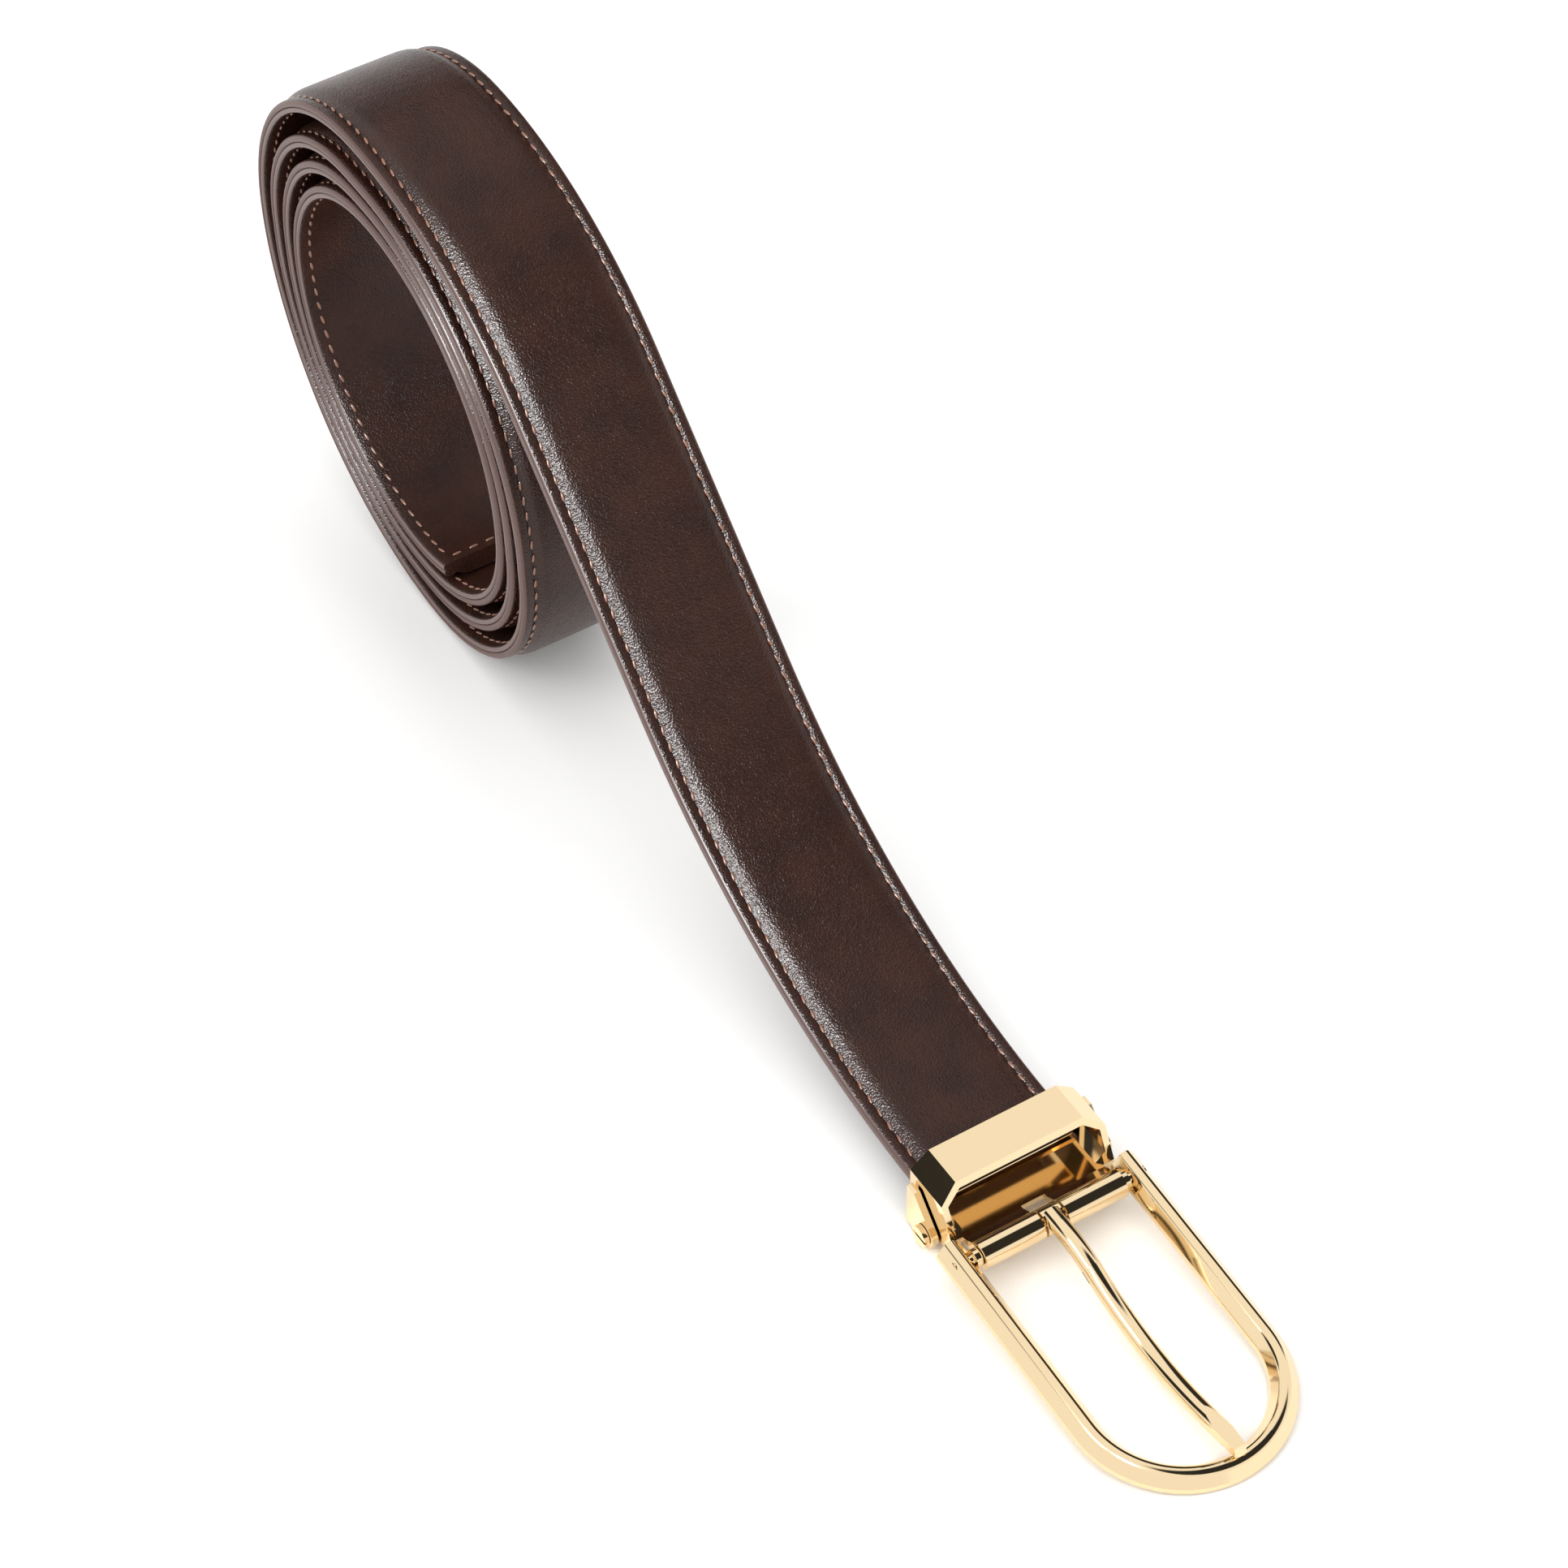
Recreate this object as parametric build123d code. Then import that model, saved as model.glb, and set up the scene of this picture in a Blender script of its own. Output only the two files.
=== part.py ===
from build123d import *
import math
import os

# A dress belt as it is packed: the strap coiled on edge, the clamp buckle flat in front.
# +X runs from the coil to the buckle, +Y across the strap, +Z up. Millimetres.
# The origin is at the bottom centre of the whole belt.

# ---- strap ----
strap_width = 30.0
lining_thickness = 1.2
filler_thickness = 1.0        # raises the middle of the strap
cover_thickness = 1.3         # smooth top leather over the filler
filler_width = 22.0
filler_gap = 0.2              # filler's sides to the pocket in the top leather
filler_stop = 4.5             # filler ends before the sewn tail end
filler_nose = 1.8             # and before the clamped end
tail_lead = 11.5              # strap before the lowest point of the innermost wrap
tail_radius = 34.0

# ---- coil: clear hole, wraps lying on each other, and the extra room between some ----
hole_width = 73.8
hole_height = 71.9
wrap_gap = 0.2
front_slack = 0.7             # in front of the second wrap
low_slack = 0.5               # under the second wrap
rear_slack = 0.8              # behind the second wrap
floor_slack = 1.7             # under the third wrap
back_slack = 1.2              # behind the third wrap
crest_slack = 5.5             # above the third wrap, where the strap leaves the coil
first_rise = 41.5             # lowest point of the innermost wrap to its rear side
corner_step = 1.5             # flat added beside each tight corner, half turn by half turn
corner_limit = 5.3
low_ease = (0.0, 0.0, 1.8, 5.2)  # radius added to each wrap's lower rear corner

# ---- run from the coil down to the buckle ----
shoulder_radius = 78.0
floor_radius = 127.0
run_slope = 44.5
strap_height = 4.7            # underside of the strap where it enters the buckle
clamped_length = 3.3

# ---- stitching ----
seam_inset = 2.4              # thread row to the edge of the strap
thread_width = 0.6
thread_depth = 0.4
thread_room = 0.15            # each side of the thread in its groove

# ---- box loop ----
side_gap = 0.5                # strap edge to the side wall
loop_wall = 1.2
loop_height = 15.2
loop_top_length = 8.3
loop_front = 12.8             # rear of the loop to its front edge at floor level
loop_plate = 1.2
skirt_height = 2.5            # underside of the side walls
floor_top = 6.0
floor_start = 4.3             # rear of the loop to the floor plate
corner_across = 3.7           # bevelled upper corners
corner_down = 2.9
gusset_size = 2.0             # bevels between the floor and the side walls
shelf_gap = 0.1               # strap to the hidden shelf that it is clamped against
shelf_plate = 1.0
shelf_length = 3.7

# ---- hinge ----
hinge_reach = 17.9            # rear of the loop to the hinge axis
hinge_height = 6.4
barrel_radius = 2.6
barrel_half = 14.4
pin_radius = 1.0
running_fit = 0.04            # round each shaft
slot_half = 2.4               # half the gap in the barrel for the prong's eye
slot_back = 12.6              # rear of the loop to the back of that gap

# ---- frame ----
frame_half_width = 20.4
bar_width = 5.0
bar_height = 3.6
arm_length = 37.6             # hinge axis to the centre of the rounded end
arm_tail = 4.1                # arm behind the hinge axis
crest_width = 1.5
flank_inner = 1.2             # upright part of the inner side
flank_outer = 1.0
edge_round = 0.3
crown_round = 1.35            # blends the crest into the flanks
side_round = 0.8
boss_radius = 1.7
boss_gap = 0.15               # boss to the end of the barrel
pin_cover = 1.0               # metal outside the end of the pin

# ---- prong ----
prong_diameter = 3.6
prong_play = 0.5              # eye to each side of the barrel's gap
prong_reach = 55.3            # hinge axis to the tip
prong_start = 1.5             # shank's middle above the hinge axis
prong_shoulder = 9.0          # hinge axis to the first bend
shoulder_bend = 32.0
prong_sag_at = 28.0           # hinge axis to the second bend
prong_sag = 5.7               # that bend's corner below the hinge axis
sag_bend = 60.0
tip_clear = 0.12              # prong tip to the frame
tip_thickness = 2.3
tip_width = 2.3
tip_taper = 10.0              # length of the tapered tip
tip_seat = 3.0                # length that lies on the frame

# ---- toothed clamp jaw and its two screws ----
jaw_plate = 1.2
jaw_side_gap = 0.3            # ears to the side walls, tongue to the side walls
tooth_height = 0.7
tooth_clear = 0.1             # teeth to the lining
tooth_half = 0.45
tooth_pitch = 1.3
tooth_rows = 2
skirt_gap = 0.3               # jaw plate to the side walls above it
jaw_rear = 0.9                # rear of the loop to the jaw
jaw_front = 3.4
pivot_reach = 6.6
pivot_height = 2.8
ear_radius = 2.8
ear_height = 10.4
ear_top = 2.2
ear_rake = 0.4
screw_radius = 1.0
head_radius = 2.0
head_height = 1.0
head_gap = 0.1
driver_slot = 0.6
wall_boss = 2.2

strap_thickness = lining_thickness + filler_thickness + cover_thickness
low_side = -strap_thickness / 2
glue_line = low_side + lining_thickness
filler_top = glue_line + filler_thickness
high_side = strap_thickness / 2
pitch = strap_thickness + wrap_gap
half_strap = strap_width / 2
inner_half = half_strap + side_gap
outer_half = inner_half + loop_wall
slope = math.radians(run_slope)


def coil_corners():
    """The coil's quarter turns, from the tail outwards: centre, radius and start angle."""
    half_x, half_z = hole_width / 2 + high_side, hole_height / 2 + high_side
    left = [-half_x - pitch * k for k in range(4)]
    right = [half_x + pitch * k for k in range(3)]
    top = [half_z + pitch * k for k in range(4)]
    bottom = [-half_z - pitch * k for k in range(4)]
    right[2] += front_slack
    bottom[2] -= low_slack
    left[2] -= rear_slack
    bottom[3] -= low_slack + floor_slack
    left[3] -= rear_slack + back_slack
    top[3] += crest_slack
    lift = high_side - bottom[3]
    turns = []
    rise = first_rise
    for k in range(4):
        eased = rise + low_ease[k]
        turns.append((left[k] + eased, bottom[k] + lift + eased, eased, 270))
        arch = top[k] - bottom[k] - rise
        tight = arch - min(corner_limit, 2 * k * corner_step)
        turns.append((left[k] + tight, top[k] + lift - tight, tight, 180))
        if k < 3:
            fall = right[k] - left[k] - arch
            turns.append((right[k] - fall, top[k] + lift - fall, fall, 90))
            land = top[k] - bottom[k + 1] - fall
            tight = land - min(corner_limit, (2 * k + 1) * corner_step)
            turns.append((right[k] - tight, bottom[k + 1] + lift + tight, tight, 0))
            rise = right[k] - land - left[k + 1]
    return turns, left[3]


turns, coil_left = coil_corners()
crest_z = turns[-1][1] + turns[-1][2]
run_mid = strap_height + high_side
bends = shoulder_radius + floor_radius
straight = (crest_z - run_mid - bends * (1 - math.cos(slope))) / math.sin(slope)
crest_to_loop = bends * math.sin(slope) + straight * math.cos(slope)

# the frame tips down from the hinge until its rounded end lies on the table
frame_reach = arm_length + frame_half_width
frame_span = math.hypot(frame_reach, bar_height / 2)
tilt = math.degrees(math.asin(hinge_height / frame_span) - math.atan2(bar_height / 2, frame_reach))
tip_x = frame_reach * math.cos(math.radians(tilt)) + bar_height / 2 * math.sin(math.radians(tilt))
rear_end = coil_left - high_side
front_end = turns[-1][0] + crest_to_loop + hinge_reach + tip_x
shift = -(rear_end + front_end) / 2
crest_x = turns[-1][0] + shift
loop_x = crest_x + crest_to_loop
hinge_x = loop_x + hinge_reach
pivot_x = loop_x + pivot_reach


def arc(centre, radius, start, sweep):
    """An arc in the XZ plane; angles in degrees from +X towards +Z."""
    points = []
    for part in (0, 0.5, 1):
        a = math.radians(start + sweep * part)
        points.append((centre[0] + radius * math.cos(a), 0, centre[1] + radius * math.sin(a)))
    return ThreePointArc(*points)


def side_line(offset, tail_cut, nose_cut):
    """The strap's line at a distance outside its middle, from the tail to the buckle."""
    first_x, first_z, first_radius, _ = turns[0]
    low_point = (first_x + shift, first_z - first_radius + tail_radius)
    lead = math.degrees((tail_lead - tail_cut) / tail_radius)
    line = [arc(low_point, tail_radius + offset, 270 + lead, -lead)]
    for x, z, radius, start in turns:
        corner = arc((x + shift, z), radius + offset, start, -90)
        if (corner @ 0 - line[-1] @ 1).length > 0.01:
            line.append(Line(line[-1] @ 1, corner @ 0))
        line.append(corner)
    line.append(arc((crest_x, crest_z - shoulder_radius), shoulder_radius + offset, 90, -run_slope))
    start = line[-1] @ 1
    end = start + Vector(math.cos(slope), 0, -math.sin(slope)) * straight
    line.append(Line(start, end))
    centre = (loop_x, run_mid + floor_radius)
    line.append(arc(centre, floor_radius - offset, 270 - run_slope, run_slope))
    start = line[-1] @ 1
    line.append(Line(start, start + Vector(clamped_length - nose_cut, 0, 0)))
    return line


def band(low, high, y_low, y_high, tail_cut=0.0, nose_cut=0.0):
    """A layer of the strap between two offsets and two widths."""
    lower = side_line(low, tail_cut, nose_cut)
    upper = side_line(high, tail_cut, nose_cut)
    ends = [Line(lower[0] @ 0, upper[0] @ 0), Line(lower[-1] @ 1, upper[-1] @ 1)]
    face = make_face(Wire(lower + upper + ends))
    solid = extrude(face, amount=y_high - y_low, dir=(0, 1, 0))
    return solid.moved(Location((0, y_low, 0)))


def prism(points, y_low, y_high):
    """A solid with a given outline in the XZ plane."""
    outline = Polyline(*[(x, y_low, z) for x, z in points], close=True)
    return extrude(make_face(outline), amount=y_high - y_low, dir=(0, 1, 0))


def rod(x, z, radius, y_low, y_high):
    """A round bar along Y."""
    bar = Cylinder(radius, y_high - y_low, rotation=(90, 0, 0))
    return bar.moved(Location((x, (y_low + y_high) / 2, z)))


def block(x0, x1, y0, y1, z0, z1):
    """A box between two corners."""
    box = Box(x1 - x0, y1 - y0, z1 - z0)
    return box.moved(Location(((x0 + x1) / 2, (y0 + y1) / 2, (z0 + z1) / 2)))


def mirrored(solid):
    """A solid and its twin on the other side of the strap's middle."""
    return [solid, mirror(solid, about=Plane.XZ)]


def save(name, solids):
    """Write one node as a group of solids."""
    if not isinstance(solids, list):
        solids = [solids]
    group = Compound(children=[s.solid() for s in solids])
    group.label = name
    export_step(group, f"parts/{name}.step")


# ---- strap pieces ----
pocket_half = filler_width / 2 + filler_gap
seam_y = half_strap - seam_inset
groove_half = thread_width / 2 + thread_room
groove_floor = high_side - thread_depth

lining = band(low_side, glue_line, -half_strap, half_strap)
filler = band(glue_line, filler_top, -filler_width / 2, filler_width / 2, filler_stop, filler_nose)
cover = band(glue_line, high_side, -half_strap, half_strap)
cover -= band(glue_line, filler_top, -pocket_half, pocket_half, filler_stop, filler_nose)
for middle in (-seam_y, seam_y):
    cover -= band(groove_floor, high_side + 1, middle - groove_half, middle + groove_half)


def row(middle):
    """One row of sewing thread lying in its groove."""
    return band(groove_floor, high_side, middle - thread_width / 2, middle + thread_width / 2)


def tail_strip(low, high, half_across, y_half):
    """A curved strip across the strap, one seam inset from the tail end."""
    low_point = side_line(0, 0, 0)[1] @ 0
    centre = (low_point.X, low_point.Z + tail_radius)
    sweep = 2 * math.degrees(half_across / tail_radius)
    start = 270 + math.degrees((tail_lead - seam_inset) / tail_radius) - sweep / 2
    inner = arc(centre, tail_radius + low, start, sweep)
    outer = arc(centre, tail_radius + high, start, sweep)
    sides = [Line(inner @ 0, outer @ 0), Line(inner @ 1, outer @ 1)]
    strip = extrude(make_face(Wire([inner, outer] + sides)), amount=2 * y_half, dir=(0, 1, 0))
    return strip.moved(Location((0, -y_half, 0)))


tail_seam_half = seam_y - groove_half
cover -= tail_strip(groove_floor, high_side + 1, groove_half, tail_seam_half)
tail_thread = tail_strip(groove_floor, high_side, thread_width / 2, tail_seam_half)

# ---- box loop with its hinge barrel ----
front_x = loop_x + loop_front
outline = [
    (loop_x, skirt_height),
    (loop_x, loop_height),
    (loop_x + loop_top_length, loop_height),
    (front_x, floor_top),
    (front_x, skirt_height),
]
loop = prism(outline, -outer_half, outer_half)


def along_x(points, x_low, x_high):
    """A solid with a given outline in the YZ plane."""
    face = make_face(Polyline(*[(x_low, y, z) for y, z in points], close=True))
    return extrude(face, amount=x_high - x_low, dir=(1, 0, 0))


bevel = [
    (outer_half - corner_across, loop_height),
    (outer_half - corner_across, loop_height + 5),
    (outer_half + 5, loop_height + 5),
    (outer_half + 5, loop_height - corner_down - 5 * corner_down / corner_across),
]
for wedge in mirrored(along_x(bevel, loop_x - 1, front_x + 1)):
    loop -= wedge
ceiling = loop_height - loop_plate
shelf_bottom = strap_height + strap_thickness + shelf_gap
shelf_top = shelf_bottom + shelf_plate
floor_bottom = floor_top - loop_plate
lean = loop_wall * corner_down / corner_across / 2
passage = [
    (-inner_half, 0),
    (inner_half, 0),
    (inner_half, loop_height - corner_down - lean),
    (outer_half - corner_across - lean, ceiling),
    (corner_across + lean - outer_half, ceiling),
    (-inner_half, loop_height - corner_down - lean),
]
inside = along_x(passage, loop_x - 1, front_x + 1)
loop -= inside
loop += block(loop_x, loop_x + shelf_length, -inner_half, inner_half, shelf_bottom, shelf_top)
loop += block(loop_x + floor_start, front_x, -inner_half, inner_half, floor_bottom, floor_top)
lip = [
    (front_x - 2.5, floor_bottom),
    (hinge_x - 1.4, floor_bottom),
    (hinge_x - 1.4, hinge_height + 1.9),
    (hinge_x - 2.2, hinge_height + 1.1),
    (front_x + 0.4, floor_top),
    (front_x - 2.5, floor_top),
]
loop += prism(lip, -barrel_half, barrel_half)
loop += rod(hinge_x, hinge_height, barrel_radius, -barrel_half, barrel_half)
for boss in mirrored(rod(pivot_x, pivot_height, wall_boss, inner_half, outer_half)):
    loop += boss
gusset = [
    (inner_half, floor_top),
    (inner_half, floor_top + gusset_size),
    (inner_half - gusset_size, floor_top),
]
for rib in mirrored(along_x(gusset, loop_x + floor_start, front_x - gusset_size / 2)):
    loop += rib
slot_room = barrel_radius * 2
loop -= block(loop_x + slot_back, hinge_x + slot_room, -slot_half, slot_half, 0, loop_height)
loop -= rod(hinge_x, hinge_height, pin_radius + running_fit, -frame_half_width, frame_half_width)
loop -= rod(pivot_x, pivot_height, screw_radius, -2 * outer_half, 2 * outer_half)

# ---- hinge pin ----
pin_half = frame_half_width - pin_cover
pin = rod(hinge_x, hinge_height, pin_radius, -pin_half, pin_half)


# ---- frame, drawn level about the hinge axis and then tipped down ----
def tipped(solid):
    """Turn a solid about the hinge by the frame's slope and put it in place."""
    return solid.rotate(Axis.Y, tilt).moved(Location((hinge_x, 0, hinge_height)))


arm_inner = frame_half_width - bar_width
half_height = bar_height / 2
crest_start = arm_inner + (bar_width - crest_width) / 2
section = [
    (arm_inner, -half_height),
    (frame_half_width, -half_height),
    (frame_half_width, flank_outer - half_height),
    (crest_start + crest_width, half_height),
    (crest_start, half_height),
    (arm_inner, flank_inner - half_height),
]
profile = make_face(Polyline(*[(arm_length, y, z) for y, z in section], close=True))
rounds = [
    (-half_height, edge_round),
    (flank_outer - half_height, side_round),
    (flank_inner - half_height, side_round),
    (half_height, crown_round),
]
for level, radius in rounds:
    corners = [v for v in profile.vertices() if abs(v.Z - level) < 0.01]
    profile = fillet(corners, radius)
arm = extrude(profile, amount=arm_length + arm_tail, dir=(-1, 0, 0))
arm += rod(0, 0, boss_radius, barrel_half + boss_gap, arm_inner + edge_round)
bend = revolve(profile, axis=Axis((arm_length, 0, 0), (0, 0, -1)), revolution_arc=180)
frame = bend + arm + mirror(arm, about=Plane.XZ)
hole_half = pin_half + running_fit
frame -= rod(0, 0, pin_radius + running_fit, -hole_half, hole_half)
frame = tipped(frame)

# ---- prong ----
eye_half = slot_half - prong_play
rest_height = half_height / math.cos(math.radians(tilt)) - prong_reach * math.tan(math.radians(tilt))
tip_height = rest_height + tip_clear + prong_diameter / 2
corners = [(0, prong_start), (prong_shoulder, prong_start), (prong_sag_at, -prong_sag), (prong_reach, tip_height)]
spine = FilletPolyline(*[(x, 0, z) for x, z in corners], radius=[shoulder_bend, sag_bend])
shank = sweep(Plane(origin=spine @ 0, z_dir=spine % 0) * Circle(prong_diameter / 2), path=spine)
prong = shank + rod(0, 0, barrel_radius, -eye_half, eye_half)
prong -= rod(0, 0, pin_radius + running_fit, -2 * eye_half, 2 * eye_half)
climb = Vector(corners[3][0] - corners[2][0], 0, corners[3][1] - corners[2][1]).normalized()
seat = Location((prong_reach, 0, rest_height + tip_clear))
under = block(-tip_seat, 5, -5, 5, -5, 0).rotate(Axis.Y, tilt).moved(seat)
rise = -math.degrees(math.atan2(climb.Z, climb.X))
lean = math.degrees(math.atan2(prong_diameter - tip_thickness, tip_taper))
above = block(-2 * tip_taper, 5, -5, 5, 0, 5).rotate(Axis.Y, rise + lean)
above = above.moved(Location((prong_reach, 0, tip_height - prong_diameter / 2 + tip_thickness)))
pinch = math.degrees(math.atan2((prong_diameter - tip_width) / 2, tip_taper))
beside = block(-2 * tip_taper, 5, 0, 5, -9, 9).rotate(Axis.Z, -pinch)
beside = beside.moved(Location((prong_reach, tip_width / 2, 0)))
prong = prong - under - above - beside - mirror(beside, about=Plane.XZ)
prong = prong.moved(Location((hinge_x, 0, hinge_height)))

# ---- toothed clamp jaw ----
ear_inner = outer_half + jaw_side_gap
ear_outer = ear_inner + jaw_plate
plate_top = skirt_height - skirt_gap
plate_bottom = plate_top - jaw_plate
jaw_back = loop_x + jaw_rear
comb_top = strap_height - tooth_clear - tooth_height
comb_half = inner_half - jaw_side_gap
jaw = block(jaw_back, loop_x + jaw_front, -ear_outer, ear_outer, plate_bottom, plate_top)
jaw += block(jaw_back, loop_x + jaw_front, -comb_half, comb_half, plate_bottom, comb_top)
ear = [
    (jaw_back, plate_bottom),
    (jaw_back + ear_rake, ear_height),
    (jaw_back + ear_rake + ear_top, ear_height),
    (pivot_x + ear_radius * 0.8, pivot_height + ear_radius * 0.6),
    (pivot_x, pivot_height - ear_radius * 0.9),
]
side = prism(ear, ear_inner, ear_outer) + rod(pivot_x, pivot_height, ear_radius, ear_inner, ear_outer)
for half in mirrored(side):
    jaw += half
jaw -= rod(pivot_x, pivot_height, screw_radius + running_fit, -2 * ear_outer, 2 * ear_outer)
for n in range(tooth_rows):
    x = loop_x + jaw_front - tooth_half - n * tooth_pitch
    tooth = [(x - tooth_half, comb_top - 0.2), (x, comb_top + tooth_height), (x + tooth_half, comb_top - 0.2)]
    jaw += prism(tooth, -comb_half, comb_half)

# ---- clamp screws ----
screw = rod(pivot_x, pivot_height, screw_radius, inner_half + 0.1, ear_outer + head_gap)
screw += rod(pivot_x, pivot_height, head_radius, ear_outer + head_gap, ear_outer + head_gap + head_height)
head_face = ear_outer + head_gap + head_height
screw -= block(pivot_x - 5, pivot_x + 5, head_face - head_height / 2, head_face + 1,
               pivot_height - driver_slot / 2, pivot_height + driver_slot / 2)

os.makedirs("parts", exist_ok=True)
save("strap_cover", cover)
save("strap_filler", filler)
save("strap_lining", lining)
save("near_edge_stitching", row(-seam_y))
save("far_edge_stitching", row(seam_y))
save("tail_stitching", tail_thread)
save("box_loop", loop)
save("hinge_pin", pin)
save("buckle_frame", frame)
save("prong", prong)
save("clamp_jaw", jaw)
save("clamp_screws", mirrored(screw))
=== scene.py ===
import math
import random

import bpy
from mathutils import Matrix, Vector


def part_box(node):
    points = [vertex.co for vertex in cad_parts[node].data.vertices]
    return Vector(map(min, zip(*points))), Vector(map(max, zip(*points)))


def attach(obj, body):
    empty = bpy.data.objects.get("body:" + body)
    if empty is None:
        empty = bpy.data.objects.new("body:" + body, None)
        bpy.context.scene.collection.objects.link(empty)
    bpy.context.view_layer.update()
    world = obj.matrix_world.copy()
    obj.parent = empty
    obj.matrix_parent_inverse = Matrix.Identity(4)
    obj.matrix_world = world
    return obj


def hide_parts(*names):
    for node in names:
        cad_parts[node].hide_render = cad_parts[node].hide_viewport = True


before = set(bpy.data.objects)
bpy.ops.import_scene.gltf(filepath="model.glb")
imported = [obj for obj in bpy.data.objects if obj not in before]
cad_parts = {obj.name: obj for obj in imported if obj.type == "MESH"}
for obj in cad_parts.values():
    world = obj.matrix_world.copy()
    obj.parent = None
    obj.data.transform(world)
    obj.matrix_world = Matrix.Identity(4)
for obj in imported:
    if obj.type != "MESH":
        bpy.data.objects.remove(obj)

bl_info = {
    "name": "Coiled dress belt",
    "version": (1, 0, 0),
    "blender": (4, 5, 0),
    "location": "View3D > Sidebar > Belt",
    "description": "Stitched leather dress belt, coiled, with a polished clamp buckle",
    "category": "Object",
}

MM = 0.001
COVER_LOW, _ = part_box("strap_cover")
SWEEP_STEP = 2.4 * MM                # about one step of the mesh along the strap
SMOOTH_ANGLE = math.radians(50)      # sharper corners than this keep a crisp edge
BEVEL_ANGLE = math.radians(30)       # metal edges sharper than this are rounded
PAINTED_EDGE = 0.35 * MM             # faces this near the side carry edge paint
MIRRORED_DARK = 0.03                 # brightness of the tent's unlit gaps in reflections
MIRRORED_LIGHT = 1.12                # brightness of its walls in reflections
TENT_LIGHT = 1.25                    # brightness of the whole tent as a lamp
TABLE_GAP = 0.2 * MM                 # keeps the table clear of the belt's underside


def length(label, description, millimetres):
    """A length property, given in millimetres."""
    return bpy.props.FloatProperty(
        name=label, description=description, default=millimetres * MM,
        unit="LENGTH", precision=5)


def colour(label, description, code):
    """A colour property, given as an sRGB hex code."""
    return bpy.props.FloatVectorProperty(
        name=label, description=description, default=linear(code),
        subtype="COLOR", size=3, min=0.0, max=1.0)


def linear(code):
    """An sRGB hex code as linear red, green and blue."""
    parts = [int(code[i:i + 2], 16) / 255 for i in (0, 2, 4)]
    return tuple(c / 12.92 if c <= 0.04045 else ((c + 0.055) / 1.055) ** 2.4 for c in parts)


class StrapSettings(bpy.types.PropertyGroup):
    """Sizes of the strap and of its coil."""
    half_width: length("Half width", "Middle of the strap to its edge", 15.0)
    thickness: length("Thickness", "Both leathers with the filler", 3.5)
    lining: length("Lining", "Thickness of the lining leather", 1.2)
    edge_drop: length("Edge drop", "How far the sewn margin lies below the raised middle", 0.9)
    seam_inset: length("Seam inset", "Edge of the strap to the row of stitches", 2.4)
    hole_width: length("Hole width", "Clear width inside the coil", 73.8)
    hole_height: length("Hole height", "Clear height inside the coil", 71.9)
    wrap_gap: length("Wrap gap", "Air between two wraps", 0.2)
    front_slack: length("Front slack", "Extra room in front of the second wrap", 0.7)
    low_slack: length("Low slack", "Extra room under the second wrap", 0.5)
    rear_slack: length("Rear slack", "Extra room behind the second wrap", 0.8)
    floor_slack: length("Floor slack", "Extra room under the third wrap", 1.7)
    back_slack: length("Back slack", "Extra room behind the third wrap", 1.2)
    crest_slack: length("Crest slack", "Extra room above the third wrap", 5.5)
    first_rise: length("First rise", "Radius of the first quarter turn", 41.5)
    corner_step: length("Corner step", "Flat added beside each tight corner, per half turn", 1.5)
    corner_limit: length("Corner limit", "Longest of those flats", 5.3)
    third_ease: length("Third ease", "Radius added to the third wrap's lower corner", 1.8)
    outer_ease: length("Outer ease", "Radius added to the outer wrap's lower corner", 5.2)
    tail_lead: length("Tail lead", "Strap before the lowest point of the innermost wrap", 11.5)
    tail_radius: length("Tail radius", "Radius of that piece of strap", 34.0)
    shoulder: length("Shoulder", "Radius where the strap leaves the coil", 78.0)
    floor_bend: length("Floor bend", "Radius where the strap levels out", 127.0)
    strap_height: length("Strap height", "Underside of the strap at the buckle", 4.7)
    clamped: length("Clamped length", "Strap inside the box loop", 3.3)
    slope: bpy.props.FloatProperty(
        name="Slope", description="Steepest slope of the run", default=math.radians(44.5),
        subtype="ANGLE")
    stitch_pitch: length("Stitch pitch", "From one stitch to the next", 3.2)
    stitch_length: length("Stitch length", "Thread that shows in one stitch", 1.9)
    thread: length("Thread", "Diameter of the sewing thread", 0.55)


class LookSettings(bpy.types.PropertyGroup):
    """Colours of the belt and of the stage."""
    leather_dark: colour("Leather dark", "Darkest tone of the brown leather", "2a130a")
    leather_light: colour("Leather light", "Lightest tone of the brown leather", "381b10")
    edge_cover: colour("Cover edge", "Edge paint on the upper half", "54362e")
    # The same edge paint as the cover edge, painted lighter: a painted highlight where the lower
    # half of the rounded edge catches the light.
    edge_lining_lit: colour("Lining edge", "Edge paint on the lower half", "66504a")
    thread: colour("Thread", "Waxed sewing thread", "926a58")
    gold: colour("Gold", "Pale gold plate", "ebd3ab")
    floor: colour("Floor", "Table under the belt", "fdfdfc")


def belt():
    """The strap's settings."""
    return bpy.context.scene.belt_strap


def looks():
    """The colour settings."""
    return bpy.context.scene.belt_looks


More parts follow.
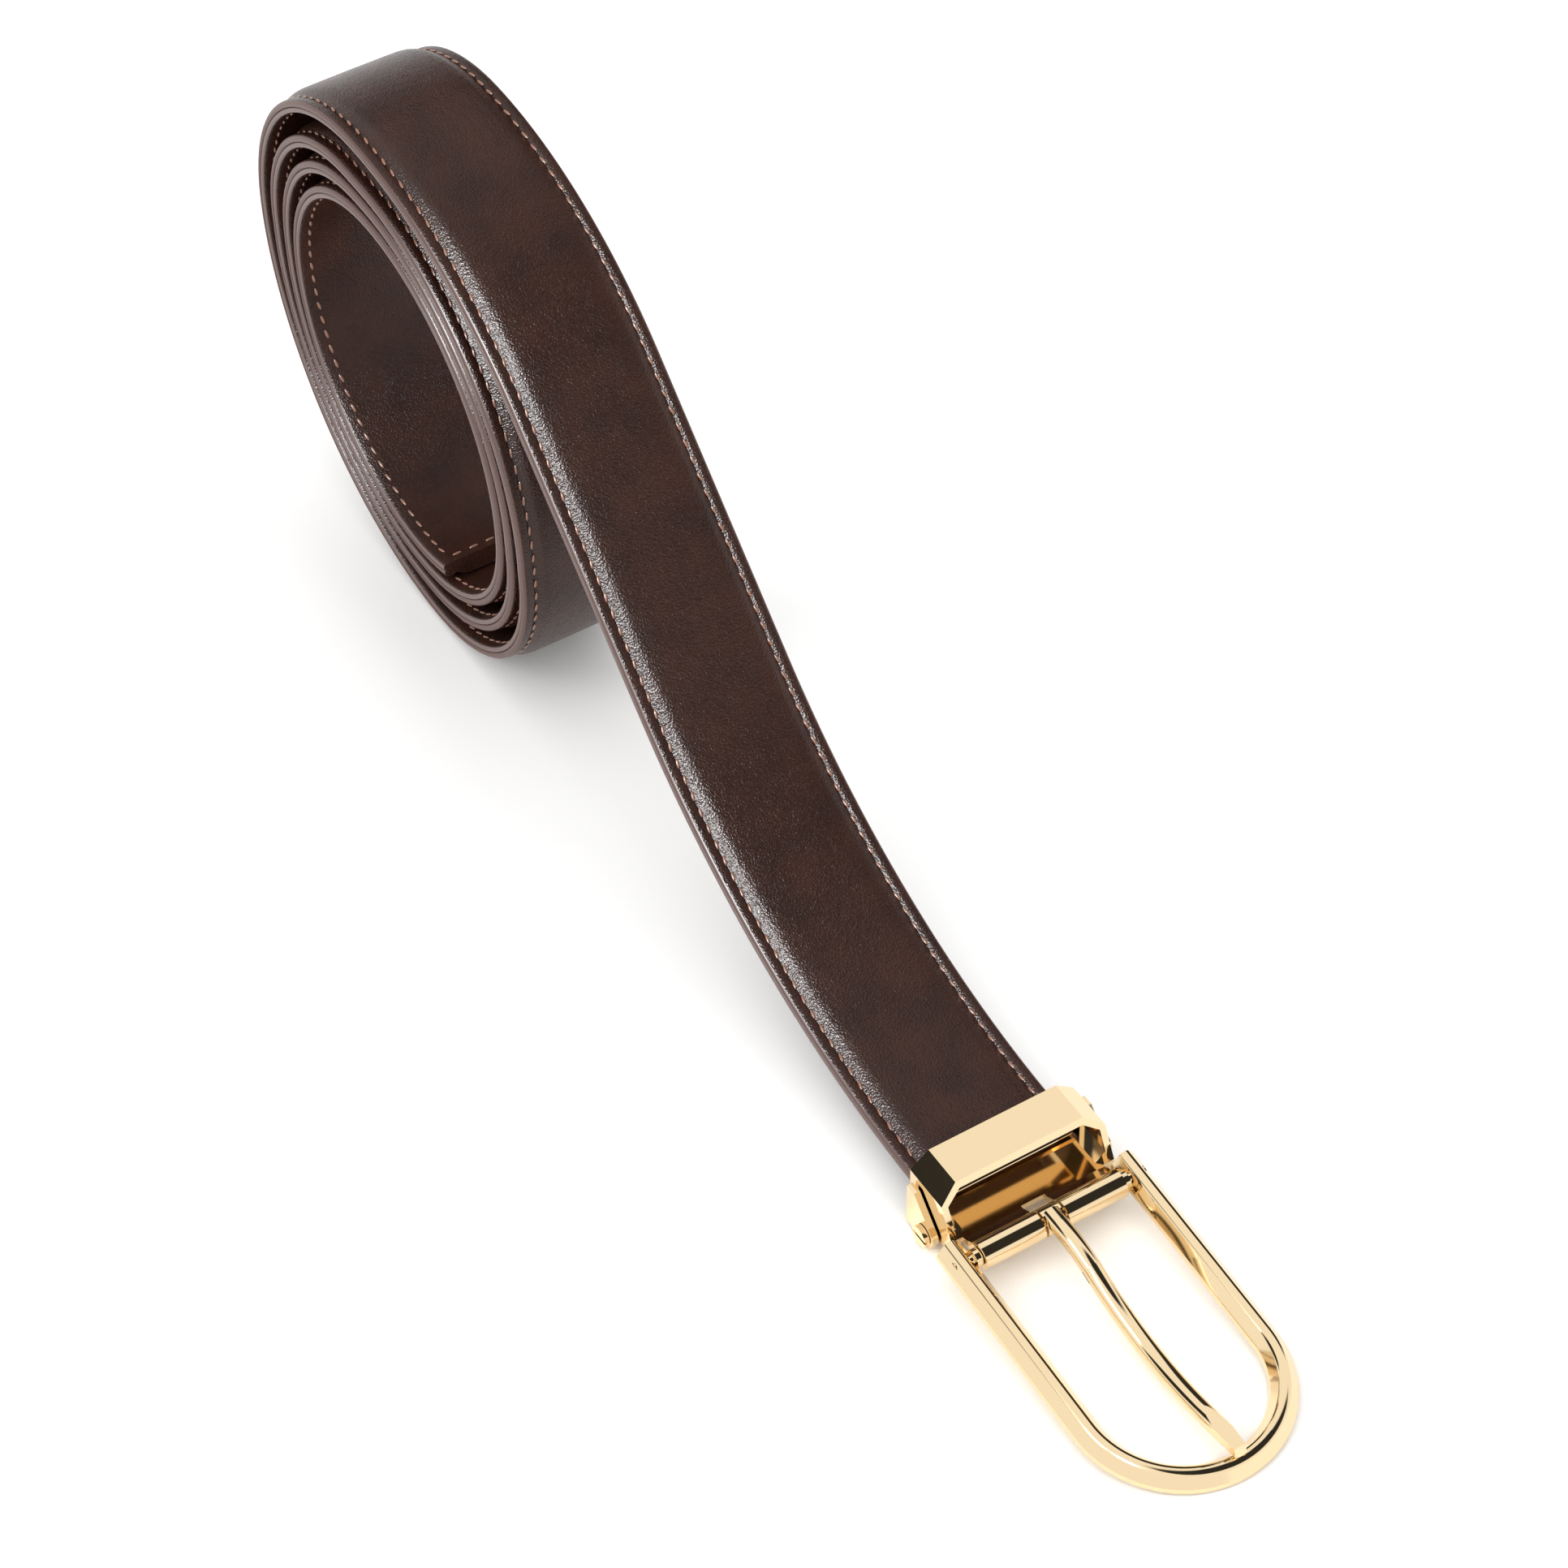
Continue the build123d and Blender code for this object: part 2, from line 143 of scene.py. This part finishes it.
# ------------------------------------------------------------------ the strap's line
def coil_corners(s):
    """The coil's quarter turns, from the tail outwards: centre x, centre z, radius, start."""
    high = s.thickness / 2
    pitch = s.thickness + s.wrap_gap
    half_x, half_z = s.hole_width / 2 + high, s.hole_height / 2 + high
    left = [-half_x - pitch * k for k in range(4)]
    right = [half_x + pitch * k for k in range(3)]
    top = [half_z + pitch * k for k in range(4)]
    bottom = [-half_z - pitch * k for k in range(4)]
    right[2] += s.front_slack
    bottom[2] -= s.low_slack
    left[2] -= s.rear_slack
    bottom[3] -= s.low_slack + s.floor_slack
    left[3] -= s.rear_slack + s.back_slack
    top[3] += s.crest_slack
    ease = (0.0, 0.0, s.third_ease, s.outer_ease)
    shift = COVER_LOW[0] + high - left[3]
    lift = high - bottom[3]
    turns = []
    rise = s.first_rise
    for k in range(4):
        eased = rise + ease[k]
        turns.append((shift + left[k] + eased, lift + bottom[k] + eased, eased, 270))
        arch = top[k] - bottom[k] - rise
        tight = arch - min(s.corner_limit, 2 * k * s.corner_step)
        turns.append((shift + left[k] + tight, lift + top[k] - tight, tight, 180))
        if k < 3:
            fall = right[k] - left[k] - arch
            turns.append((shift + right[k] - fall, lift + top[k] - fall, fall, 90))
            land = top[k] - bottom[k + 1] - fall
            tight = land - min(s.corner_limit, (2 * k + 1) * s.corner_step)
            turns.append((shift + right[k] - tight, lift + bottom[k + 1] + tight, tight, 0))
            rise = right[k] - land - left[k + 1]
    return turns


def strap_line():
    """Tangent pieces of the strap's middle line, from the tail to the buckle.

    Each is (centre x, centre z, radius, start angle, sweep), or (x, z, 0, slope, length).
    """
    s = belt()
    turns = coil_corners(s)
    x, z, radius, _ = turns[0]
    lead = math.degrees(s.tail_lead / s.tail_radius)
    pieces = [(x, z - radius + s.tail_radius, s.tail_radius, 270 + lead, -lead)]
    spot = (x, z - radius)
    for x, z, radius, start in turns:
        a = math.radians(start)
        first = (x + radius * math.cos(a), z + radius * math.sin(a))
        flat = math.hypot(first[0] - spot[0], first[1] - spot[1])
        if flat > 0.01 * MM:
            pieces.append((spot[0], spot[1], 0.0, start - 90, flat))
        pieces.append((x, z, radius, start, -90))
        a = math.radians(start - 90)
        spot = (x + radius * math.cos(a), z + radius * math.sin(a))
    crest_x, crest_z = spot
    slope = math.degrees(s.slope)
    run_mid = s.strap_height + s.thickness / 2
    bends = (s.shoulder + s.floor_bend) * (1 - math.cos(s.slope))
    straight = (crest_z - run_mid - bends) / math.sin(s.slope)
    pieces.append((crest_x, crest_z - s.shoulder, s.shoulder, 90, -slope))
    a = math.radians(90 - slope)
    px = crest_x + s.shoulder * math.cos(a)
    pz = crest_z - s.shoulder + s.shoulder * math.sin(a)
    pieces.append((px, pz, 0.0, -slope, straight))
    loop_x = px + straight * math.cos(s.slope) + s.floor_bend * math.sin(s.slope)
    pieces.append((loop_x, run_mid + s.floor_bend, -s.floor_bend, 270 - slope, slope))
    pieces.append((loop_x, run_mid, 0.0, 0.0, s.clamped))
    return pieces


def line_length(piece):
    """Length of one piece of the line."""
    radius, sweep = piece[2], piece[4]
    return abs(radius * math.radians(sweep)) if radius else sweep


def place_on(pieces, distance):
    """Point, direction and outward normal at a distance from the tail end."""
    for piece in pieces:
        size = line_length(piece)
        if distance <= size or piece is pieces[-1]:
            break
        distance -= size
    x, z, radius, start, sweep = piece
    if radius == 0.0:
        a = math.radians(start)
        along = Vector((math.cos(a), 0, math.sin(a)))
        return Vector((x, 0, z)) + along * distance, along, Vector((-along.z, 0, along.x))
    a = math.radians(start + sweep * distance / size)
    out = Vector((math.cos(a), 0, math.sin(a)))
    point = Vector((x, 0, z)) + out * abs(radius)
    along = Vector((-out.z, 0, out.x)) * (1 if sweep > 0 else -1)
    return point, along, out * (1 if radius > 0 else -1)


# ------------------------------------------------------------------ modelling helpers
def clear_selection():
    """Leave edit mode and deselect everything."""
    if bpy.context.object and bpy.context.object.mode != "OBJECT":
        bpy.ops.object.mode_set(mode="OBJECT")
    bpy.ops.object.select_all(action="DESELECT")


def sweep_section(name, section):
    """Carry a closed section, as (across, outward) pairs, along the strap's line."""
    pieces = strap_line()
    clear_selection()
    bpy.ops.mesh.primitive_circle_add(vertices=len(section), fill_type="NOTHING")
    obj = bpy.context.object
    obj.name = obj.data.name = name
    start, _, out = place_on(pieces, 0.0)
    for vertex, (across, outward) in zip(obj.data.vertices, section):
        vertex.co = start + out * outward + Vector((0, across, 0))
    bpy.ops.object.mode_set(mode="EDIT")
    bpy.ops.mesh.select_mode(type="VERT")
    bpy.ops.mesh.select_all(action="SELECT")
    for piece in pieces:
        x, z, radius, turn, sweep = piece
        steps = max(2, round(line_length(piece) / SWEEP_STEP))
        if radius:
            bpy.ops.mesh.spin(
                steps=steps, angle=math.radians(sweep), center=(x, 0, z), axis=(0, 1, 0))
        else:
            step = sweep / steps
            a = math.radians(turn)
            move = (math.cos(a) * step, 0, math.sin(a) * step)
            for _ in range(steps):
                bpy.ops.mesh.extrude_edges_move(TRANSFORM_OT_translate={"value": move})
    bpy.ops.mesh.edge_face_add()
    bpy.ops.object.mode_set(mode="OBJECT")
    for vertex in obj.data.vertices:
        vertex.select = vertex.index < len(section)
    bpy.ops.object.mode_set(mode="EDIT")
    bpy.ops.mesh.edge_face_add()
    bpy.ops.mesh.select_all(action="SELECT")
    bpy.ops.mesh.normals_make_consistent(inside=False)
    bpy.ops.object.mode_set(mode="OBJECT")
    return obj


def mirror_section(half):
    """A closed section from its half on the +across side, listed from low to high."""
    return half + [(-across, outward) for across, outward in reversed(half)]


def paint_edges(obj, face, edge, inset):
    """Give the narrow edge faces one material and the broad faces another."""
    obj.data.materials.append(face)
    obj.data.materials.append(edge)
    for polygon in obj.data.polygons:
        polygon.material_index = 1 if abs(polygon.center.y) > inset else 0


def finish_piece(obj, body, slot, *nodes):
    """Smooth a piece, hang it on its body and hide the CAD nodes it stands for."""
    clear_selection()
    obj.select_set(True)
    bpy.context.view_layer.objects.active = obj
    bpy.ops.object.transform_apply(location=True, rotation=True, scale=True)
    bpy.ops.object.shade_smooth_by_angle(angle=SMOOTH_ANGLE)
    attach(obj, body)
    if nodes:
        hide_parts(*nodes)


# ------------------------------------------------------------------ materials
def node(tree, kind, links=None, **values):
    """Add one shader node; values set its sockets by name, links feed them by name or number."""
    made = tree.nodes.new(kind)
    for key, value in values.items():
        if key in ("operation", "data_type"):
            setattr(made, key, value)
        else:
            made.inputs[key.replace("_", " ")].default_value = value
    for key, output in (links or {}).items():
        tree.links.new(output, made.inputs[key])
    return made


def new_material(name):
    """A new material, with its node tree and its shader."""
    material = bpy.data.materials.new(name)
    material.use_nodes = True
    tree = material.node_tree
    shader = tree.nodes["Principled BSDF"]
    return material, tree, shader


def rgba(value):
    """A colour property with full alpha."""
    return (value[0], value[1], value[2], 1.0)


def leather(name, dark, light, rough, grain):
    """Finished calf leather: fine pebbled grain with faint creases, a soft sheen that breaks
    into sparkles where it catches the light, and a colour that drifts slightly along the strap.
    """
    _, tree, shader = new_material(name)
    where = node(tree, "ShaderNodeTexCoord").outputs["Object"]
    pebble = node(tree, "ShaderNodeTexVoronoi", {"Vector": where}, Scale=2500.0, Randomness=1.0)
    fine = node(tree, "ShaderNodeTexNoise", {"Vector": where}, Scale=4000.0, Detail=3.0)
    broad = node(tree, "ShaderNodeTexNoise", {"Vector": where}, Scale=120.0, Detail=3.0)
    crease = node(tree, "ShaderNodeTexNoise", {"Vector": where}, Scale=650.0, Detail=4.0)
    grains = node(tree, "ShaderNodeMath", {0: pebble.outputs["Distance"], 1: fine.outputs["Fac"]},
                  operation="ADD")
    both = node(tree, "ShaderNodeMath", {0: grains.outputs[0], 1: crease.outputs["Fac"]},
                operation="ADD")
    tone = node(tree, "ShaderNodeMapRange", {"Value": broad.outputs["Fac"]},
                From_Min=0.3, From_Max=0.7)
    mix = node(tree, "ShaderNodeMix", {0: tone.outputs["Result"]}, data_type="RGBA")
    mix.inputs[6].default_value = rgba(dark)
    mix.inputs[7].default_value = rgba(light)
    tree.links.new(mix.outputs[2], shader.inputs["Base Color"])
    bump = node(tree, "ShaderNodeBump", {"Height": both.outputs[0]},
                Strength=grain, Distance=0.00016)
    tree.links.new(bump.outputs["Normal"], shader.inputs["Normal"])
    gloss = node(tree, "ShaderNodeMapRange", {"Value": fine.outputs["Fac"]},
                 To_Min=rough - 0.08, To_Max=rough + 0.1)
    tree.links.new(gloss.outputs["Result"], shader.inputs["Roughness"])
    shader.inputs["Specular IOR Level"].default_value = 0.5
    shader.inputs["IOR"].default_value = 1.38


def edge_paint(name, value):
    """Burnished edge paint: even colour, slight ripple along the cut edge."""
    _, tree, shader = new_material(name)
    where = node(tree, "ShaderNodeTexCoord").outputs["Object"]
    ripple = node(tree, "ShaderNodeTexNoise", {"Vector": where}, Scale=420.0, Detail=2.0)
    bump = node(tree, "ShaderNodeBump", {"Height": ripple.outputs["Fac"]},
                Strength=0.25, Distance=0.0001)
    tree.links.new(bump.outputs["Normal"], shader.inputs["Normal"])
    shader.inputs["Base Color"].default_value = rgba(value)
    shader.inputs["Roughness"].default_value = 0.42


def waxed_thread(value):
    """Waxed polyester thread: fine twist seen as a ripple, soft sheen."""
    _, tree, shader = new_material("waxed thread")
    where = node(tree, "ShaderNodeTexCoord").outputs["Object"]
    twist = node(tree, "ShaderNodeTexNoise", {"Vector": where}, Scale=3500.0, Detail=2.0)
    bump = node(tree, "ShaderNodeBump", {"Height": twist.outputs["Fac"]},
                Strength=0.6, Distance=0.00008)
    tree.links.new(bump.outputs["Normal"], shader.inputs["Normal"])
    shader.inputs["Base Color"].default_value = rgba(value)
    shader.inputs["Roughness"].default_value = 0.32


def gold_plate(name, value, rough):
    """Polished pale gold plate: mirror-like, with a trace of soft polishing haze."""
    _, _, shader = new_material(name)
    shader.inputs["Base Color"].default_value = rgba(value)
    shader.inputs["Metallic"].default_value = 1.0
    shader.inputs["Roughness"].default_value = rough


def material_named(name):
    """A material made by the materials operator."""
    return bpy.data.materials[name]


# ------------------------------------------------------------------ operators
class BELT_OT_materials(bpy.types.Operator):
    """Make every material of the belt"""
    bl_idname = "belt.materials"
    bl_label = "Materials"

    def execute(self, context):
        c = looks()
        leather("cover leather", c.leather_dark, c.leather_light, 0.28, 0.55)
        leather("lining leather", c.leather_dark, c.leather_light, 0.31, 0.5)
        edge_paint("cover edge paint", c.edge_cover)
        # lower half of the edge: the same edge paint, painted lighter as a painted highlight
        edge_paint("lining edge paint, painted lighter", c.edge_lining_lit)
        waxed_thread(c.thread)
        gold_plate("polished gold plate", c.gold, 0.07)
        return {"FINISHED"}


class BELT_OT_strap(bpy.types.Operator):
    """Sweep the cover leather, with its raised middle, and the lining leather"""
    bl_idname = "belt.strap"
    bl_label = "Strap"

    def execute(self, context):
        s = belt()
        w, low, high = s.half_width, -s.thickness / 2, s.thickness / 2
        glue = low + s.lining
        margin = high - s.edge_drop
        seam = w - s.seam_inset
        cover = mirror_section([
            (w - 0.45 * MM, glue),
            (w - 0.15 * MM, glue + 0.12 * MM),
            (w, glue + 0.5 * MM),
            (w, margin - 0.75 * MM),
            (w - 0.15 * MM, margin - 0.38 * MM),
            (w - 0.45 * MM, margin - 0.1 * MM),
            (w - 0.9 * MM, margin),
            (seam + 0.7 * MM, margin),
            (seam + 0.4 * MM, margin - 0.1 * MM),
            (seam, margin - 0.3 * MM),
            (seam - 0.4 * MM, margin - 0.08 * MM),
            (seam - 0.8 * MM, margin + 0.22 * s.edge_drop),
            (seam - 1.4 * MM, margin + 0.62 * s.edge_drop),
            (seam - 2.1 * MM, margin + 0.87 * s.edge_drop),
            (seam - 3.2 * MM, high),
            (seam - 6.0 * MM, high + 0.03 * MM),
            (1.0 * MM, high + 0.05 * MM),
        ])
        obj = sweep_section("cover_leather", cover)
        paint_edges(obj, material_named("cover leather"), material_named("cover edge paint"),
                    w - PAINTED_EDGE)
        finish_piece(obj, "strap_and_loop", "cover_leather", "strap_cover", "strap_filler")
        lining = mirror_section([
            (1.0 * MM, low),
            (w - 3.0 * MM, low),
            (w - 0.8 * MM, low + 0.04 * MM),
            (w - 0.3 * MM, low + 0.18 * MM),
            (w - 0.05 * MM, low + 0.45 * MM),
            (w - 0.05 * MM, glue - 0.35 * MM),
            (w - 0.2 * MM, glue - 0.1 * MM),
            (w - 0.5 * MM, glue),
        ])
        obj = sweep_section("lining_leather", lining)
        # the lining's edge faces carry the edge paint with its painted highlight
        paint_edges(obj, material_named("lining leather"), material_named("lining edge paint, painted lighter"),
                    w - PAINTED_EDGE)
        finish_piece(obj, "strap_and_loop", "lining_leather", "strap_lining")
        return {"FINISHED"}


class BELT_OT_stitches(bpy.types.Operator):
    """Sew the two long rows and the row across the tail end"""
    bl_idname = "belt.stitches"
    bl_label = "Stitching"

    lean = 0.16          # radians a stitch turns out of its row, on the leather's face
    lean_spread = 0.05   # radians of chance in the lean
    tilt_spread = 0.04   # radians of chance in how deep each end dives
    pressed = 0.42       # half height of a stitch, as a share of the thread's thickness

    def base_stitch(self):
        """One stitch: a short thread that dives into its holes at both ends."""
        s = belt()
        clear_selection()
        bpy.ops.mesh.primitive_uv_sphere_add(segments=8, ring_count=6, radius=1.0)
        obj = bpy.context.object
        bpy.ops.object.mode_set(mode="EDIT")
        bpy.ops.mesh.select_all(action="SELECT")
        bpy.ops.transform.rotate(value=math.pi / 2, orient_axis="Y", center_override=(0, 0, 0))
        bpy.ops.transform.resize(value=(s.stitch_length / 2, s.thread / 2, s.thread * self.pressed))
        bpy.ops.object.mode_set(mode="OBJECT")
        points = [v.co.copy() for v in obj.data.vertices]
        faces = [tuple(p.vertices) for p in obj.data.polygons]
        bpy.data.objects.remove(obj)
        return points, faces

    def row(self, name, places, node_name):
        """One row as a mesh of copied stitches; each place is a matrix."""
        points, faces = self.base_stitch()
        all_points, all_faces = [], []
        for place in places:
            offset = len(all_points)
            all_points += [place @ p for p in points]
            all_faces += [tuple(i + offset for i in f) for f in faces]
        mesh = bpy.data.meshes.new(name)
        mesh.from_pydata([tuple(p) for p in all_points], [], all_faces)
        mesh.update()
        obj = bpy.data.objects.new(name, mesh)
        bpy.context.collection.objects.link(obj)
        mesh.materials.append(material_named("waxed thread"))
        finish_piece(obj, "strap_and_loop", "thread", node_name)

    def execute(self, context):
        s = belt()
        rng = random.Random(4)
        pieces = strap_line()
        total = sum(line_length(p) for p in pieces)
        count = int((total - s.clamped - 3 * MM - s.seam_inset) / s.stitch_pitch)
        seam = s.half_width - s.seam_inset
        top = s.thickness / 2 - s.edge_drop - 0.1 * MM
        under = -s.thickness / 2 - 0.02 * MM
        for name, side, node_name in (("near_edge_stitches", -1, "near_edge_stitching"),
                                      ("far_edge_stitches", 1, "far_edge_stitching")):
            places = []
            for level, shift in ((top, 0.0), (under, 0.5)):
                for n in range(count):
                    distance = s.seam_inset + (n + 0.5 + shift) * s.stitch_pitch
                    point, along, out = place_on(pieces, distance)
                    chance = rng.uniform(-self.lean_spread, self.lean_spread)
                    slant = Matrix.Rotation(side * self.lean + chance, 4, "Z")
                    chance = rng.uniform(-self.tilt_spread, self.tilt_spread)
                    tilt = Matrix.Rotation(chance, 4, "Y")
                    turn = Matrix((along, Vector((0, 1, 0)), out)).transposed().to_4x4()
                    spot = point + out * level + Vector((0, side * seam, 0))
                    places.append(Matrix.Translation(spot) @ turn @ slant @ tilt)
            self.row(name, places, node_name)
        point, along, out = place_on(pieces, s.seam_inset)
        turn = Matrix((Vector((0, 1, 0)), -along, out)).transposed().to_4x4()
        count = int(2 * seam / s.stitch_pitch)
        pitch = 2 * seam / count
        places = []
        for level in (top, under):
            for n in range(count):
                spot = point + out * level + Vector((0, -seam + (n + 0.5) * pitch, 0))
                places.append(Matrix.Translation(spot) @ turn)
        self.row("tail_stitches", places, "tail_stitching")
        return {"FINISHED"}


class BELT_OT_buckle(bpy.types.Operator):
    """Plate the buckle's metal pieces and soften their edges"""
    bl_idname = "belt.buckle"
    bl_label = "Buckle"

    def execute(self, context):
        gold = material_named("polished gold plate")
        rounding = {"box_loop": 0.32, "clamp_jaw": 0.2, "buckle_frame": 0.0, "prong": 0.25,
                    "clamp_screws": 0.12, "hinge_pin": 0.1}
        for name, width in rounding.items():
            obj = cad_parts[name]
            for slot in obj.material_slots:
                slot.material = gold
            if width:
                bevel = obj.modifiers.new("soft edge", "BEVEL")
                bevel.width = width * MM
                bevel.segments = 3
                bevel.limit_method = "ANGLE"
                bevel.angle_limit = BEVEL_ANGLE
                bevel.harden_normals = True
        return {"FINISHED"}


class BELT_OT_stage(bpy.types.Operator):
    """Lay the pale table, hang the soft lights and set the camera"""
    bl_idname = "belt.stage"
    bl_label = "Stage"

    # direction of each unlit gap, then the angles in degrees of its dark core and soft rim
    gaps = (
        ((-0.55, 0.78, 0.30), 20, 26),
        ((-0.88, 0.42, 0.22), 15, 21),
        ((-0.588, 0.66, 0.46), 14, 17),
        ((0.42, 0.36, 0.83), 31, 37),
        ((-0.588, -0.65, 0.47), 12, 17),
    )

    middle = (0.0, 0.0, 0.04)                          # the lamps face this point
    camera_place = (0.489889, -0.281368, 0.631950)
    camera_across = (0.526734, 0.849767, -0.021149)    # to the right in its view
    camera_up = (-0.613504, 0.397270, 0.682487)
    camera_back = (0.588357, -0.346515, 0.730591)

    def soft_light(self, name, place, size, power):
        """A square soft light facing the middle of the belt."""
        light = bpy.data.lights.new(name, "AREA")
        light.shape = "SQUARE"
        light.size = size
        light.energy = power
        obj = bpy.data.objects.new(name, light)
        bpy.context.collection.objects.link(obj)
        obj.location = place
        aim = Vector(self.middle) - Vector(place)
        obj.rotation_euler = aim.to_track_quat("-Z", "Y").to_euler()
        return obj

    def studio(self):
        """A white light tent with unlit gaps, which show only in polished metal and leather."""
        world = bpy.data.worlds.new("studio")
        world.use_nodes = True
        tree = world.node_tree
        way = node(tree, "ShaderNodeTexCoord").outputs["Generated"]
        level = None
        for direction, core, rim in self.gaps:
            dot = tree.nodes.new("ShaderNodeVectorMath")
            dot.operation = "DOT_PRODUCT"
            tree.links.new(way, dot.inputs[0])
            dot.inputs[1].default_value = Vector(direction).normalized()
            lit = node(tree, "ShaderNodeMapRange", {"Value": dot.outputs["Value"]},
                       From_Min=math.cos(math.radians(core)), From_Max=math.cos(math.radians(rim)))
            lit.interpolation_type = "SMOOTHSTEP"
            level = lit.outputs["Result"] if level is None else node(
                tree, "ShaderNodeMath", {0: level, 1: lit.outputs["Result"]},
                operation="MULTIPLY").outputs[0]
        mirrored = node(tree, "ShaderNodeMapRange", {"Value": level},
                        To_Min=MIRRORED_DARK, To_Max=MIRRORED_LIGHT)
        glossy = node(tree, "ShaderNodeLightPath").outputs["Is Glossy Ray"]
        power = node(tree, "ShaderNodeMix", {0: glossy}, data_type="FLOAT")
        power.inputs[2].default_value = TENT_LIGHT
        tree.links.new(mirrored.outputs["Result"], power.inputs[3])
        tree.links.new(power.outputs[0], tree.nodes["Background"].inputs["Strength"])
        tree.nodes["Background"].inputs["Color"].default_value = (1.0, 1.0, 1.0, 1.0)
        return world

    def execute(self, context):
        clear_selection()
        bpy.ops.mesh.primitive_plane_add(size=6.0, location=(0, 0, -TABLE_GAP))
        floor = bpy.context.object
        floor.name = "table"
        material, _, shader = new_material("matt white table")
        shader.inputs["Base Color"].default_value = rgba(looks().floor)
        shader.inputs["Roughness"].default_value = 0.85
        shader.inputs["Specular IOR Level"].default_value = 0.1
        floor.data.materials.append(material)
        context.scene.world = self.studio()
        self.soft_light("key", (-0.2, -1.3, 1.2), 0.6, 4.0)
        glint = self.soft_light("glint", (0.36, -0.78, 0.92), 0.26, 60.0)
        glint.visible_diffuse = False
        camera = bpy.data.cameras.new("camera")
        camera.lens = 106.3
        camera.sensor_width = 36.0
        camera.clip_start = 0.01
        obj = bpy.data.objects.new("camera", camera)
        context.collection.objects.link(obj)
        axes = (self.camera_across, self.camera_up, self.camera_back)
        turn = Matrix(axes).transposed().to_4x4()
        obj.matrix_world = Matrix.Translation(self.camera_place) @ turn
        context.scene.camera = obj
        context.scene.view_settings.view_transform = "Standard"
        return {"FINISHED"}


class BELT_PT_panel(bpy.types.Panel):
    """Lists the steps that build the belt"""
    bl_idname = "BELT_PT_panel"
    bl_label = "Coiled dress belt"
    bl_space_type = "VIEW_3D"
    bl_region_type = "UI"
    bl_category = "Belt"

    def draw(self, context):
        column = self.layout.column()
        for operator in OPERATORS:
            column.operator(operator.bl_idname)
        for group in (context.scene.belt_strap, context.scene.belt_looks):
            for name in group.bl_rna.properties.keys():
                if name not in ("rna_type", "name"):
                    column.prop(group, name)


OPERATORS = (BELT_OT_materials, BELT_OT_strap, BELT_OT_stitches, BELT_OT_buckle, BELT_OT_stage)
CLASSES = (StrapSettings, LookSettings) + OPERATORS + (BELT_PT_panel,)


def register():
    """Make the settings, operators and panel known."""
    for item in CLASSES:
        bpy.utils.register_class(item)
    bpy.types.Scene.belt_strap = bpy.props.PointerProperty(type=StrapSettings)
    bpy.types.Scene.belt_looks = bpy.props.PointerProperty(type=LookSettings)


def unregister():
    """Take them away again."""
    del bpy.types.Scene.belt_looks
    del bpy.types.Scene.belt_strap
    for item in reversed(CLASSES):
        bpy.utils.unregister_class(item)


def main():
    """Build the belt on the frame."""
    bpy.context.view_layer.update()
    register()
    bpy.ops.belt.materials()
    bpy.ops.belt.strap()
    bpy.ops.belt.stitches()
    bpy.ops.belt.buckle()
    bpy.ops.belt.stage()


if __name__ == "__main__":
    main()
